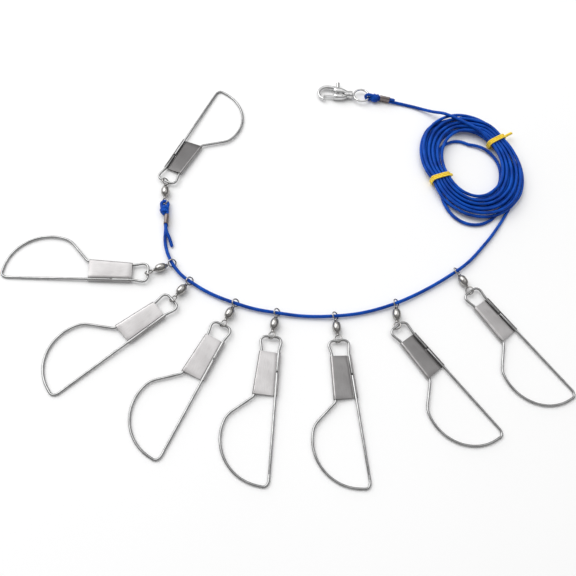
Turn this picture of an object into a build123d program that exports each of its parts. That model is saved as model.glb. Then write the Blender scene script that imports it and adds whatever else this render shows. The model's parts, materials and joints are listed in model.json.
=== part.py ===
from build123d import *
import os
from math import asin, cos, degrees, pi, radians, sin, sqrt, tan

# Fish stringer: eight wire snaps, each on a barrel swivel, ride on a cord that ends in a trigger clasp.
# The stringer lies on a flat surface at Z = 0, with the spare cord in a tied coil. Millimetres, degrees.

os.makedirs("parts", exist_ok=True)

# Layout: points on the surface are counted from the middle of the spread-out stringer,
# and the frame's origin lies at ORIGIN among them, under the middle of the metal pieces.
ORIGIN = Vector(-2.85, 28.25, 0)

# Cord
CORD_DIA = 2.8
CORD_SIDES = 6
COIL_SIDES = 4
CORD_GAP = 0.5
LAYER_GAP = 0.55
TAG_PITCH_GAP = 0.1
LINE_LOW = 2.0
COIL_RUN_IN = 13.0
COIL_RUN_OUT = 12.0

# Coil of spare cord: an oval spiral, in on the lower layer and out again on the upper one
COIL_CENTRE = Vector(174.8, 126.2, 0)
COIL_HALF_WIDTH = 49.8
COIL_HALF_LENGTH = 62.0
COIL_TURNS_IN = 7
COIL_CLIMB_TURNS = 0.5
COIL_START_ANGLE = -45
COIL_END_ANGLE = 90

# Twist ties round the coil: angle round the coil, reach of the twisted tail and its side
TIE_THICK = 0.8
TIE_WIDTH = 4.0
TIE_CLEAR = 0.3
TIE_TAIL_DIA = 2.0
TIES = [(-152, 5.0, -1), (42, 11.0, 1)]

# Crimp ferrules: an oval sleeve over the standing cord and its tag end
FERRULE_LENGTH = 9.5
FERRULE_WALL = 0.5
FERRULE_CLEAR = 0.03

# Knots: turns of cord round a core, behind a loop through the ring that they hold
KNOT_WRAPS = 3
KNOT_WRAP_SIDES = 10
KNOT_WRAP_STEP = 2.3
KNOT_WRAP_RADIUS = 2.5
KNOT_WRAP_LEAN = 12
KNOT_CORE_RADIUS = 2.3
KNOT_LOOP_CLEAR = 0.3
KNOT_LOOP_LEG = 4.0
KNOT_SETBACK = 6.3
KNOT_STRAND_REACH = 4.0
KNOT_FLOOR_GAP = 0.1
END_TAG_RUN = 5.0
CLASP_KNOT_HEADING = 170
CLASP_TAG = 4.0

# Snap: one springy wire bent to a D, with a sheet keeper over its two legs and a small end loop.
# Its own frame has the straight leg on X = 0, the far corner at Y = 0 and the end loop at the top.
SNAP_WIRE_DIA = 2.0
SNAP_WIRE_SIDES = 6
SNAP_FLOOR_GAP = 0.05
SNAP_LENGTH = 113.8
LOOP_LENGTH = 12.9
LEG_SPACING_LOOP_END = 13.6
LEG_SPACING_BOW_END = 16.3
LOOP_FLARE = 2.2
LOOP_CORNER_RADIUS = 4.2
LOOP_NECK_RADIUS = 6.0
LOOP_NECK = 1.1
LOOP_NECK_STEP = 0.5
BOW_DEPTH = 38.37
BOW_DIP = 1.6
BOW_START_ANGLE = 160
BOW_END_ANGLE = 262
SHOULDER_RUN = 18.5
SHOULDER_ANGLE = 220.3
SHOULDER_BEND_RADIUS = 4.0
SHOULDER_DROP = 1.8
CORNER_RUN = 4.0
CORNER_TOP = 3.2

# Keeper: sheet with its edges rolled round the legs, closed on the bowed leg and a hook on the gate
KEEPER_LENGTH = 34.8
KEEPER_SHEET = 0.6
KEEPER_CLEAR = 0.1
KEEPER_HOOK_WRAP = 135
KEEPER_ROLL_WRAP = 290
KEEPER_FOLD = 45

# Gate: the straight leg, which springs out of the keeper's hook
GATE_PIVOT = 5.6
GATE_BALL = 0.9
GATE_PIVOT_CLEAR = 0.15
GATE_END_CHAMFER = 0.45
GATE_IN_KEEPER = 18.0
GATE_TIP_GAP = 2.0

# Swivel: a hollow barrel that holds the headed stems of two wire eyes
EYE_SPACING = 20.3
EYE_BORE_RADIUS = 2.6
EYE_WIRE_DIA = 1.1
EYE_SIDES = 12
EYE_FLOOR_GAP = 0.05
STEM_RADIUS = 0.9
STEM_SIDES = 8
STEM_CLEAR = 0.05
HEAD_RADIUS = 1.7
HEAD_THICK = 1.0
HEAD_CLEAR = 0.1
BARREL_LENGTH = 9.4
BARREL_SIDES = 12
BARREL_TAPERS = [(0.5, 3.4), (0.75, 1.6)]
BARREL_RADIUS = 3.25
BARREL_WALL = 1.2

# Units: distance along the line, heading of the swivel and heading of the snap.
# The first unit is tied to the end of the line, so it has a place instead of a distance.
END_EYE = Vector(-103.3, 81.4, 0)
END_HEADINGS = (90.6, 63.5)
UNITS_ON_LINE = [
    (38.2, -155.8, -181.8),
    (60.3, -128.5, -140.5),
    (102.4, -118.3, -116.9),
    (136.8, -104.0, -96.1),
    (184.2, -87.8, -85.3),
    (237.2, -94.4, -53.6),
    (300.6, -65.6, -54.3),
]
BAR_CLEAR = 0.3
BAR_DROP = 0.5
LINE_SAG = 0.5

# Clasp: a trigger snap hook with a swivel ring. Its own frame has the swivel on X and the hook towards -X.
CLASP_PLACE = Vector(70.9, 205.8, 0)
CLASP_HEADING = -4
CLASP_THICK = 6.6
CLASP_WIRE_DIA = 4.0
CLASP_WIRE_SIDES = 8
HOOK_CENTRE = -25.5
HOOK_RADIUS = 7.6
HOOK_SWEEP = 160
HOOK_ROOT = Vector(-9.5, 4.0)
CHEEK_LEFT = -18.5
CHEEK_RIGHT = -4.8
CHEEK_TOP = 8.4
CHEEK_BOTTOM = -6.8
CHEEK_SHOULDER = -8.2
CHEEK_CORNER_RADIUS = 1.5
SLOT_WIDTH = 4.4
SLOT_RIGHT = -7.0
SLOT_LEFT_TOP = -16.4
SLOT_STEP = 3.0
COLLAR_RADIUS = 3.6
COLLAR_END = -0.8
PIVOT = Vector(-10.6, -3.4)
PIN_RADIUS = 0.9
PIN_SEAT_CLEAR = 0.01
LEVER_CLEAR = 0.05
LEVER_THICK = 2.0
LEVER_HUB_RADIUS = 2.3
LEVER_SIDE_GAP = 0.1
LEVER_NECK_LEFT = 1.84
LEVER_NECK_RIGHT = 1.38
ARM_WIDTH = 2.2
ARM_TIP_X = -28.6
ARM_DROP = 0.2
ARM_TIP_GAP = 0.3
THUMB_X = -14.5
THUMB_BASE = 7.9
THUMB_TOP = 14.0
THUMB_RADIUS = 1.9
THUMB_NECK = 3.0
THUMB_ROOT = 0.5
THUMB_CHAMFER = 0.8
RING_RADIUS = 7.2
RING_CENTRE = 8.0
RING_WIRE_DIA = 2.4
RING_SIDES = 20
RING_STEM_RADIUS = 1.5
RING_HEAD_RADIUS = 2.4
RING_HEAD_THICK = 1.0
RING_HEAD_CLEAR = 0.15
RING_STEM_CLEAR = 0.05
RING_KNOT_ANGLE = -8
SPRING_WIRE_DIA = 0.3
SPRING_PITCH = 0.5
SPRING_HALF_TURNS = 3
SPRING_CLEAR = 0.3
SPRING_WIRE_SIDES = 4

# Share of the wire that a faceted ring's edges lose
RING_CHAMFER = 0.28

# How far a cut runs past the face that it opens
CUT_OVERRUN = 1.0

# Worked out from the sizes above
CORD_RADIUS = CORD_DIA / 2
SNAP_WIRE_RADIUS = SNAP_WIRE_DIA / 2
EYE_RING_RADIUS = EYE_BORE_RADIUS + EYE_WIRE_DIA / 2
SWIVEL_Z = EYE_BORE_RADIUS + EYE_WIRE_DIA + EYE_FLOOR_GAP
BAR_Z = SWIVEL_Z - BAR_DROP
LINE_EYE_Z = SWIVEL_Z - LINE_SAG
FERRULE_LOW_Z = CORD_RADIUS + FERRULE_CLEAR + FERRULE_WALL
TAG_PITCH = CORD_DIA + TAG_PITCH_GAP
COIL_PITCH = CORD_DIA + CORD_GAP
COIL_LAYER = CORD_DIA + LAYER_GAP
COIL_Z = TIE_THICK + TIE_CLEAR + CORD_RADIUS
COIL_TURNS_TOTAL = 2 * COIL_TURNS_IN + (COIL_END_ANGLE - COIL_START_ANGLE) / 360
COIL_REVERSAL = COIL_TURNS_IN + COIL_CLIMB_TURNS / 2


def heading(angle):
    """Level unit vector at an angle from +X."""
    return Vector(cos(radians(angle)), sin(radians(angle)), 0)


def write(solid, name):
    """Label a finished piece and write it as its own node."""
    solid.label = name
    export_step(solid, f"parts/{name}.step")


def biarc(start, start_way, end, end_way):
    """Draw two arcs that leave start along start_way and reach end along end_way."""
    span = end - start
    ways = start_way + end_way
    spread = 2 * (1 - start_way.dot(end_way))
    along = span.dot(ways)
    if spread > 1e-6:
        reach = (sqrt(along**2 + spread * span.dot(span)) - along) / spread
    else:
        reach = span.dot(span) / (2 * along)
    first = start + start_way * reach
    last = end - end_way * reach
    joint = (first + last) * 0.5
    TangentArc(start, joint, tangent=start_way)
    TangentArc(joint, end, tangent=last - first)


def corner_radii(points):
    """Largest arcs that a route's corners take, 0.45 of the shorter run from each corner."""
    radii = []
    for before, corner, after in zip(points, points[1:], points[2:]):
        run_in = corner - before
        run_out = after - corner
        half_turn = radians(run_in.get_angle(run_out)) / 2
        radii.append(0.45 * min(run_in.length, run_out.length) / tan(half_turn))
    return radii


def check_tube(name, solid, wire, radius, sides):
    """Print a tube's length and its volume against section times length."""
    section = sides / 2 * radius**2 * sin(2 * pi / sides)
    share = solid.volume / (section * wire.length)
    print(f"{name}: length {wire.length:.1f}, volume over section times length {share:.4f}")


def cord_tube(name, points):
    """Sweep the cord along straight runs and tangent arcs, and return the tube and its route."""
    radii = corner_radii(points)
    print(f"{name}: arc radii", " ".join(f"{radius:.0f}" for radius in radii))
    with BuildPart() as tube:
        with BuildLine() as route:
            FilletPolyline(*points, radius=radii)
        wire = route.wire()
        with BuildSketch(Plane(wire @ 0, z_dir=wire % 0)):
            RegularPolygon(CORD_RADIUS, CORD_SIDES)
        sweep(path=wire)
    check_tube(name, tube.part, wire, CORD_RADIUS, CORD_SIDES)
    return tube.part, wire


def coil_station(turn):
    """Centre line of the coil after so many turns: the point and the way it runs there."""
    angle = radians(COIL_START_ANGLE + 360 * turn)
    climb = min(max((turn - COIL_TURNS_IN) / COIL_CLIMB_TURNS, 0), 1)
    inset = COIL_PITCH * (COIL_REVERSAL - abs(turn - COIL_REVERSAL))
    rate = 0
    if turn < COIL_REVERSAL:
        rate = -COIL_PITCH
    if turn > COIL_REVERSAL:
        rate = COIL_PITCH
    half_width = COIL_HALF_WIDTH - CORD_RADIUS - inset
    half_length = COIL_HALF_LENGTH - CORD_RADIUS - inset
    level = COIL_Z + COIL_LAYER * climb
    rise = COIL_LAYER * 1.5 / pi if 0 < climb < 1 else 0
    drift = rate / (2 * pi)
    point = COIL_CENTRE - ORIGIN + Vector(half_width * cos(angle), half_length * sin(angle), level)
    way = Vector(
        -half_width * sin(angle) + drift * cos(angle),
        half_length * cos(angle) + drift * sin(angle),
        rise,
    )
    return point, way.normalized()


def coil_gap(wire, step):
    """Least clear gap between the coil's turns, measured between points along it."""
    count = int(wire.length / step)
    points = [wire.position_at(i / count) for i in range(count + 1)]
    skip = int(COIL_HALF_WIDTH / step)
    least = min(
        (points[i] - points[j]).length
        for i in range(0, len(points), 3)
        for j in range(i + skip, len(points))
    )
    return least - CORD_DIA


# Coil: one unbroken tube, swept on biarcs of a quarter turn, with straight ends
quarters = int(COIL_TURNS_TOTAL * 4)
stations = [coil_station(i / 4) for i in range(quarters + 1)]
stations.append(coil_station(COIL_TURNS_TOTAL))
coil_start, coil_start_way = stations[0]
coil_end, coil_end_way = stations[-1]
coil_in = coil_start - coil_start_way * CORD_DIA
coil_out = coil_end + coil_end_way * CORD_DIA
with BuildPart() as coil:
    with BuildLine() as coil_route:
        Line(coil_in, coil_start)
        for (here, way_here), (there, way_there) in zip(stations, stations[1:]):
            biarc(here, way_here, there, way_there)
        Line(coil_end, coil_out)
    coil_wire = coil_route.wire()
    with BuildSketch(Plane(coil_in, z_dir=coil_start_way)):
        RegularPolygon(CORD_RADIUS, COIL_SIDES)
    sweep(path=coil_wire)
check_tube("coil", coil.part, coil_wire, CORD_RADIUS, COIL_SIDES)
print(f"coil: least gap to itself {coil_gap(coil_wire, 1.5):.2f}")
write(coil.part, "cord_coil")

# Line: from the end ferrule, through the swivels' eyes, to the coil. Heights rise over each eye.
end_way = heading(END_HEADINGS[0])
end_eye = END_EYE - ORIGIN + Vector(0, 0, SWIVEL_Z)
line_points = [
    Vector(-101.6, 57.7, FERRULE_LOW_Z),
    Vector(-102.1, 48.6, FERRULE_LOW_Z - 0.2),
    Vector(-101.6, 39.2, LINE_LOW + 0.3),
    Vector(-99.0, 29.5, LINE_EYE_Z - 0.3),
    Vector(-95.4, 21.0, LINE_EYE_Z),
    Vector(-88.8, 11.4, LINE_EYE_Z - 0.3),
    Vector(-80.8, 4.4, LINE_EYE_Z),
    Vector(-63.9, -6.6, LINE_LOW + 0.2),
    Vector(-43.8, -15.4, LINE_EYE_Z),
    Vector(-27.7, -20.4, LINE_LOW + 0.2),
    Vector(-10.0, -24.0, LINE_EYE_Z),
    Vector(12.0, -26.9, LINE_LOW),
    Vector(36.7, -27.2, LINE_EYE_Z),
    Vector(61.0, -23.9, LINE_LOW),
    Vector(88.6, -16.0, LINE_EYE_Z),
    Vector(117.6, -1.8, LINE_LOW),
    Vector(144.8, 14.6, LINE_EYE_Z),
    Vector(158.6, 25.2, LINE_LOW + 0.4),
    Vector(170.4, 37.6, LINE_LOW),
    Vector(183.3, 51.6, LINE_LOW + 0.1),
]
line_points = [point - ORIGIN for point in line_points]
line_points += [coil_in - coil_start_way * COIL_RUN_IN, coil_in]
line_tube, line_wire = cord_tube("line", line_points)
write(line_tube, "cord_line")

# Lead: from the coil's upper layer down to the ferrule behind the clasp
lead_points = [
    Vector(147.0, 190.2, COIL_Z + 1.6),
    Vector(133.0, 194.8, LINE_LOW + 0.4),
    Vector(119.0, 198.4, LINE_LOW - 0.3),
    Vector(106.0, 200.9, FERRULE_LOW_Z),
]
lead_points = [coil_out, coil_out + coil_end_way * COIL_RUN_OUT] + [point - ORIGIN for point in lead_points]
lead_tube, lead_wire = cord_tube("lead", lead_points)
write(lead_tube, "cord_lead")


def ring_of(wire_dia, sides, centre, axis_way, ring_radius):
    """Add a closed ring of faceted wire to the piece in hand."""
    with BuildPart(mode=Mode.PRIVATE) as ring:
        with BuildSketch(Plane(centre, z_dir=axis_way)):
            RegularPolygon(ring_radius + wire_dia / 2, sides)
            RegularPolygon(ring_radius - wire_dia / 2, sides, mode=Mode.SUBTRACT)
        extrude(amount=wire_dia / 2, both=True)
        ends = ring.faces().filter_by(Axis(centre, axis_way))
        chamfer(ends.edges(), wire_dia * RING_CHAMFER)
    add(ring.part)


def rod(section_radius, sides, start, end):
    """Add a straight faceted rod to the piece in hand."""
    with BuildSketch(Plane(start, z_dir=end - start)) as section:
        RegularPolygon(section_radius, sides)
    extrude(section.sketch, amount=(end - start).length)


def tube_along(section_radius, sides, wire):
    """Add a faceted tube along a wire to the piece in hand."""
    with BuildSketch(Plane(wire @ 0, z_dir=wire % 0)) as section:
        RegularPolygon(section_radius, sides)
    sweep(section.sketch, path=wire)


def knot_wraps(middle, way):
    """Add the turns of a knot and its core, centred at middle, to the piece in hand."""
    half = KNOT_WRAP_STEP * (KNOT_WRAPS - 1) / 2
    for i in range(KNOT_WRAPS):
        lean = KNOT_WRAP_LEAN * (-1) ** i
        centre = middle + way * (i * KNOT_WRAP_STEP - half)
        ring_of(CORD_DIA, KNOT_WRAP_SIDES, centre, way.rotate(Axis.Z, lean), KNOT_WRAP_RADIUS)
    rod(KNOT_CORE_RADIUS, CORD_SIDES, middle - way * half, middle + way * half)


def two_strands(ferrule_near, ferrule_far):
    """Add the standing cord and the tag above it, from inside a knot through its ferrule."""
    into_knot = (ferrule_near - ferrule_far).normalized() * KNOT_STRAND_REACH
    for rise in (0, TAG_PITCH):
        up = Vector(0, 0, rise)
        rod(CORD_RADIUS, CORD_SIDES, ferrule_near + into_knot + up, ferrule_far + up)


def loop_round(middle, way, side, turn_radius):
    """Add a loop of cord round a wire at middle: two legs along -way, side by side along side."""
    with BuildLine() as loop:
        Line(middle - way * KNOT_LOOP_LEG + side * turn_radius, middle + side * turn_radius)
        ThreePointArc(middle + side * turn_radius, middle + way * turn_radius, middle - side * turn_radius)
        Line(middle - side * turn_radius, middle - way * KNOT_LOOP_LEG - side * turn_radius)
    tube_along(CORD_RADIUS, CORD_SIDES, loop.wire())


def tag_tube(points):
    """Add a free tag end along points to the piece in hand."""
    with BuildLine() as route:
        FilletPolyline(*points, radius=corner_radii(points))
    tube_along(CORD_RADIUS, CORD_SIDES, route.wire())


# Knot at the end of the line: its loop goes through the first swivel's eye, and its tag end lies free
line_start = line_wire @ 0
line_start_way = (line_wire % 0) * -1
end_ferrule_near = line_start + line_start_way * FERRULE_LENGTH
end_loop = end_eye - end_way * EYE_RING_RADIUS
end_knot_middle = end_loop - end_way * KNOT_SETBACK
end_knot_middle.Z = KNOT_WRAP_RADIUS + CORD_DIA / 2 + KNOT_FLOOR_GAP
tag_up = Vector(0, 0, TAG_PITCH)
with BuildPart() as end_knot:
    loop_round(end_loop, end_way, end_way.rotate(Axis.Z, 90), CORD_DIA)
    knot_wraps(end_knot_middle, end_way)
    two_strands(end_ferrule_near, line_start)
    tag_tube(
        [
            line_start + tag_up,
            line_start - line_start_way * END_TAG_RUN + tag_up,
            Vector(-98.0, 45.2, LINE_LOW + 1.1) - ORIGIN,
            Vector(-96.2, 38.6, CORD_RADIUS + 0.2) - ORIGIN,
        ]
    )
write(end_knot.part, "end_knot")

# Clasp frame, pitched so that the cord has room under the ring
ring_knot_turn = RING_WIRE_DIA / 2 + KNOT_LOOP_CLEAR + CORD_RADIUS
ring_z = ring_knot_turn + CORD_RADIUS + KNOT_FLOOR_GAP
ring_far = RING_CENTRE + RING_RADIUS
clasp_pitch = degrees(asin((ring_z - CLASP_THICK / 2) / (ring_far - CHEEK_LEFT)))
clasp_z = ring_z - ring_far * sin(radians(clasp_pitch))
clasp_at = Location(CLASP_PLACE - ORIGIN + Vector(0, 0, clasp_z), (0, 0, CLASP_HEADING))
clasp_at = clasp_at * Location((0, 0, 0), (0, -clasp_pitch, 0))

# Knot behind the clasp: its loop goes over and under the ring's wire
lead_end = lead_wire @ 1
lead_end_way = lead_wire % 1
clasp_ferrule_near = lead_end + lead_end_way * FERRULE_LENGTH
ring_hold = RING_RADIUS * heading(RING_KNOT_ANGLE) + Vector(RING_CENTRE, 0, 0)
clasp_loop = (clasp_at * Location(ring_hold)).position
clasp_way = heading(CLASP_KNOT_HEADING)
clasp_knot_middle = clasp_loop - clasp_way * KNOT_SETBACK
clasp_knot_middle.Z = KNOT_WRAP_RADIUS + CORD_DIA / 2 + KNOT_FLOOR_GAP
with BuildPart() as clasp_knot:
    loop_round(clasp_loop, clasp_way, Vector(0, 0, 1), ring_knot_turn)
    knot_wraps(clasp_knot_middle, clasp_way)
    two_strands(clasp_ferrule_near, lead_end)
    rod(CORD_RADIUS, CORD_SIDES, lead_end + tag_up, lead_end + tag_up - lead_end_way * CLASP_TAG)
write(clasp_knot.part, "clasp_knot")

# Crimp ferrules
with BuildPart() as ferrules:
    for near, far in ((end_ferrule_near, line_start), (clasp_ferrule_near, lead_end)):
        middle_plane = Plane(near + tag_up * 0.5, x_dir=(0, 0, 1), z_dir=far - near)
        with BuildSketch(middle_plane):
            SlotCenterToCenter(TAG_PITCH, 2 * (CORD_RADIUS + FERRULE_CLEAR + FERRULE_WALL))
            SlotCenterToCenter(TAG_PITCH, 2 * (CORD_RADIUS + FERRULE_CLEAR), mode=Mode.SUBTRACT)
        extrude(amount=FERRULE_LENGTH)
write(ferrules.part, "crimp_ferrules")

# Twist ties: a flat band round all the turns, with its ends twisted together into a tail
bundle = COIL_PITCH * COIL_REVERSAL
band_half_width = bundle / 2 + CORD_RADIUS + TIE_CLEAR
band_height = COIL_LAYER + CORD_DIA + 2 * TIE_CLEAR
band_middle_z = COIL_Z + COIL_LAYER / 2
with BuildPart() as ties:
    for angle, tail, side in TIES:
        mean_width = COIL_HALF_WIDTH - CORD_RADIUS - bundle / 2
        mean_length = COIL_HALF_LENGTH - CORD_RADIUS - bundle / 2
        turn = radians(angle)
        outward = Vector(mean_length * cos(turn), mean_width * sin(turn), 0).normalized()
        band_middle = Vector(mean_width * cos(turn), mean_length * sin(turn), band_middle_z)
        band_middle = band_middle + COIL_CENTRE - ORIGIN
        along = outward.rotate(Axis.Z, 90)
        with BuildSketch(Plane(band_middle, x_dir=outward, z_dir=along)):
            band = Rectangle(2 * (band_half_width + TIE_THICK), band_height + 2 * TIE_THICK)
            chamfer(band.vertices(), TIE_THICK)
            Rectangle(2 * band_half_width, band_height, mode=Mode.SUBTRACT)
        extrude(amount=TIE_WIDTH / 2, both=True)
        tail_start = band_middle + outward * side * (band_half_width + TIE_THICK / 2)
        rod(TIE_TAIL_DIA / 2, CORD_SIDES, tail_start, tail_start + outward * side * tail)
write(ties.part, "twist_ties")

# Snap wire: end loop, bowed leg, shoulder, bow and far corner, in the snap's own frame
keeper_top = SNAP_LENGTH - LOOP_LENGTH
keeper_bottom = keeper_top - KEEPER_LENGTH
gate_tip = keeper_bottom + GATE_IN_KEEPER
neck = keeper_top + LOOP_NECK
leg_top = Vector(-LEG_SPACING_LOOP_END, neck + LOOP_NECK_STEP)
leg_bottom = Vector(-LEG_SPACING_BOW_END, keeper_bottom - SHOULDER_DROP)
leg_way = (leg_bottom - leg_top).normalized()
shoulder_way = heading(SHOULDER_ANGLE)
shoulder = leg_bottom + shoulder_way * SHOULDER_RUN
bow_radius = keeper_bottom / 2 + BOW_DIP
bow_centre = Vector(bow_radius - BOW_DEPTH, keeper_bottom / 2)
bow_start = bow_centre + heading(BOW_START_ANGLE) * bow_radius
bow_end = bow_centre + heading(BOW_END_ANGLE) * bow_radius
bow_end_way = heading(BOW_END_ANGLE + 90)
corner_start = bow_end + bow_end_way * CORNER_RUN
corner_end = Vector(0, CORNER_TOP)
wire_end = Vector(0, GATE_PIVOT - GATE_BALL - GATE_PIVOT_CLEAR)
with BuildPart() as snap_wire:
    with BuildLine() as wire_route:
        FilletPolyline(
            (0, gate_tip + GATE_TIP_GAP),
            (0, neck),
            (LOOP_FLARE, SNAP_LENGTH),
            (-LEG_SPACING_LOOP_END - LOOP_FLARE, SNAP_LENGTH),
            leg_top,
            leg_bottom,
            shoulder,
            radius=[
                LOOP_NECK_RADIUS,
                LOOP_CORNER_RADIUS,
                LOOP_CORNER_RADIUS,
                LOOP_NECK_RADIUS,
                SHOULDER_BEND_RADIUS,
            ],
        )
        biarc(shoulder, shoulder_way, bow_start, heading(BOW_START_ANGLE + 90))
        CenterArc(bow_centre, bow_radius, BOW_START_ANGLE, BOW_END_ANGLE - BOW_START_ANGLE)
        Line(bow_end, corner_start)
        biarc(corner_start, bow_end_way, corner_end, Vector(0, 1))
        Line(corner_end, wire_end)
    tube_along(SNAP_WIRE_RADIUS, SNAP_WIRE_SIDES, wire_route.wire())

# Gate: a straight rod that turns about a ball-shaped end at the far corner
gate_start = Vector(0, GATE_PIVOT - GATE_BALL)
with BuildPart() as gate:
    rod(SNAP_WIRE_RADIUS, SNAP_WIRE_SIDES, gate_start, Vector(0, gate_tip))
    chamfer(gate.faces().sort_by(Axis.Y)[0].edges(), GATE_END_CHAMFER)


def rolled_edge(start, way, length, first_angle, wrap):
    """Add a keeper's rolled edge, folded sheet round a leg, to the piece in hand."""
    folds = round(wrap / KEEPER_FOLD)
    fold = wrap / folds
    inner = (SNAP_WIRE_RADIUS + KEEPER_CLEAR) / cos(radians(fold / 2))
    outer = inner + KEEPER_SHEET
    ways = [heading(first_angle + fold * i) for i in range(folds + 1)]
    outline = [way_here * inner for way_here in ways] + [way_here * outer for way_here in reversed(ways)]
    with BuildSketch(Plane(start, x_dir=(1, 0, 0), z_dir=way)) as edge:
        with BuildLine():
            Polyline(*outline, close=True)
        make_face()
    extrude(edge.sketch, amount=length)


# Keeper: a flat web under the legs, with a closed roll on the bowed leg and a hook over the gate
leg_at_top = leg_top + leg_way * ((leg_top.Y - keeper_top) / -leg_way.Y)
leg_at_bottom = leg_top + leg_way * ((leg_top.Y - keeper_bottom) / -leg_way.Y)
web_z = -(SNAP_WIRE_RADIUS + KEEPER_CLEAR + KEEPER_SHEET)
hook_from = -90 - KEEPER_FOLD / 2
roll_to = 270 + KEEPER_FOLD / 2
with BuildPart() as keeper:
    with BuildSketch(Plane.XY.offset(web_z)):
        with BuildLine():
            Polyline((0, keeper_bottom), (0, keeper_top), leg_at_top, leg_at_bottom, close=True)
        make_face()
    extrude(amount=KEEPER_SHEET)
    rolled_edge(Vector(0, keeper_top), Vector(0, -1), KEEPER_LENGTH, hook_from, KEEPER_HOOK_WRAP)
    roll_length = (leg_at_bottom - leg_at_top).length
    rolled_edge(leg_at_top, leg_way, roll_length, roll_to - KEEPER_ROLL_WRAP, KEEPER_ROLL_WRAP)

# Swivel: eye and barrel, with the barrel's middle half way between the two eyes
barrel_start = (EYE_SPACING - BARREL_LENGTH) / 2
head_start = Vector(barrel_start + BARREL_WALL + HEAD_CLEAR, 0, 0)
head_end = head_start + Vector(HEAD_THICK, 0, 0)
with BuildPart() as eye:
    ring_of(EYE_WIRE_DIA, EYE_SIDES, Vector(0, 0, 0), Vector(0, 1, 0), EYE_RING_RADIUS)
    rod(STEM_RADIUS, STEM_SIDES, Vector(EYE_RING_RADIUS, 0, 0), head_end)
    rod(HEAD_RADIUS, BARREL_SIDES, head_start, head_end)
cavity = HEAD_RADIUS + 2 * HEAD_CLEAR
with BuildPart() as barrel:
    with BuildSketch(Plane.YZ.offset(barrel_start)):
        RegularPolygon(BARREL_RADIUS, BARREL_SIDES)
    extrude(amount=BARREL_LENGTH)
    for drop, run in BARREL_TAPERS:
        ends = barrel.faces().sort_by(Axis.X)
        for end in (ends[0], ends[-1]):
            chamfer(end.edges(), length=drop * cos(pi / BARREL_SIDES), length2=run, reference=end)
    with BuildSketch(Plane.YZ.offset(barrel_start + BARREL_WALL)):
        RegularPolygon(cavity, BARREL_SIDES, major_radius=False)
    extrude(amount=BARREL_LENGTH - 2 * BARREL_WALL, mode=Mode.SUBTRACT)
    with BuildSketch(Plane.YZ.offset(barrel_start)):
        RegularPolygon(STEM_RADIUS + STEM_CLEAR, STEM_SIDES, major_radius=False)
    extrude(amount=BARREL_LENGTH, mode=Mode.SUBTRACT)

# Units: each swivel stands at its place on the cord, and each snap hangs from its swivel
bar_middle = Vector(-LEG_SPACING_LOOP_END / 2, SNAP_LENGTH)
snap_reach = SNAP_LENGTH - (bow_centre.Y - bow_radius)
snap_pitch = degrees(asin((BAR_Z - SNAP_WIRE_RADIUS - SNAP_FLOOR_GAP) / snap_reach))
eye_places = [(end_eye, *END_HEADINGS)]
for distance, swivel_heading, snap_heading in UNITS_ON_LINE:
    on_line = line_wire.position_at(distance, position_mode=PositionMode.LENGTH)
    eye_places.append((Vector(on_line.X, on_line.Y, SWIVEL_Z), swivel_heading, snap_heading))
units = []
for place, swivel_heading, snap_heading in eye_places:
    swivel_at = Location(place, (0, 0, swivel_heading))
    snap_eye_at = swivel_at * Location((EYE_SPACING, 0, 0), (0, 0, 180))
    slant = radians(swivel_heading - snap_heading)
    bar_spread = SNAP_WIRE_RADIUS / cos(slant) + EYE_WIRE_DIA / 2 * abs(tan(slant))
    bar_seat = EYE_BORE_RADIUS * cos(pi / EYE_SIDES) - BAR_CLEAR - bar_spread
    bar_place = (swivel_at * Location((EYE_SPACING + bar_seat, 0, -BAR_DROP))).position
    snap_at = Location(bar_place, (0, 0, snap_heading + 90)) * Location((0, 0, 0), (snap_pitch, 0, 0))
    snap_at = snap_at * Location(-bar_middle)
    units.append((swivel_at, snap_eye_at, snap_at))
for number, (swivel_at, snap_eye_at, snap_at) in enumerate(units, start=1):
    write(eye.part.moved(swivel_at), f"line_eye_{number}")
    write(barrel.part.moved(swivel_at), f"swivel_barrel_{number}")
    write(eye.part.moved(snap_eye_at), f"snap_eye_{number}")
    write(snap_wire.part.moved(snap_at), f"snap_wire_{number}")
    write(keeper.part.moved(snap_at), f"keeper_{number}")
    write(gate.part.moved(snap_at), f"gate_{number}")

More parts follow.
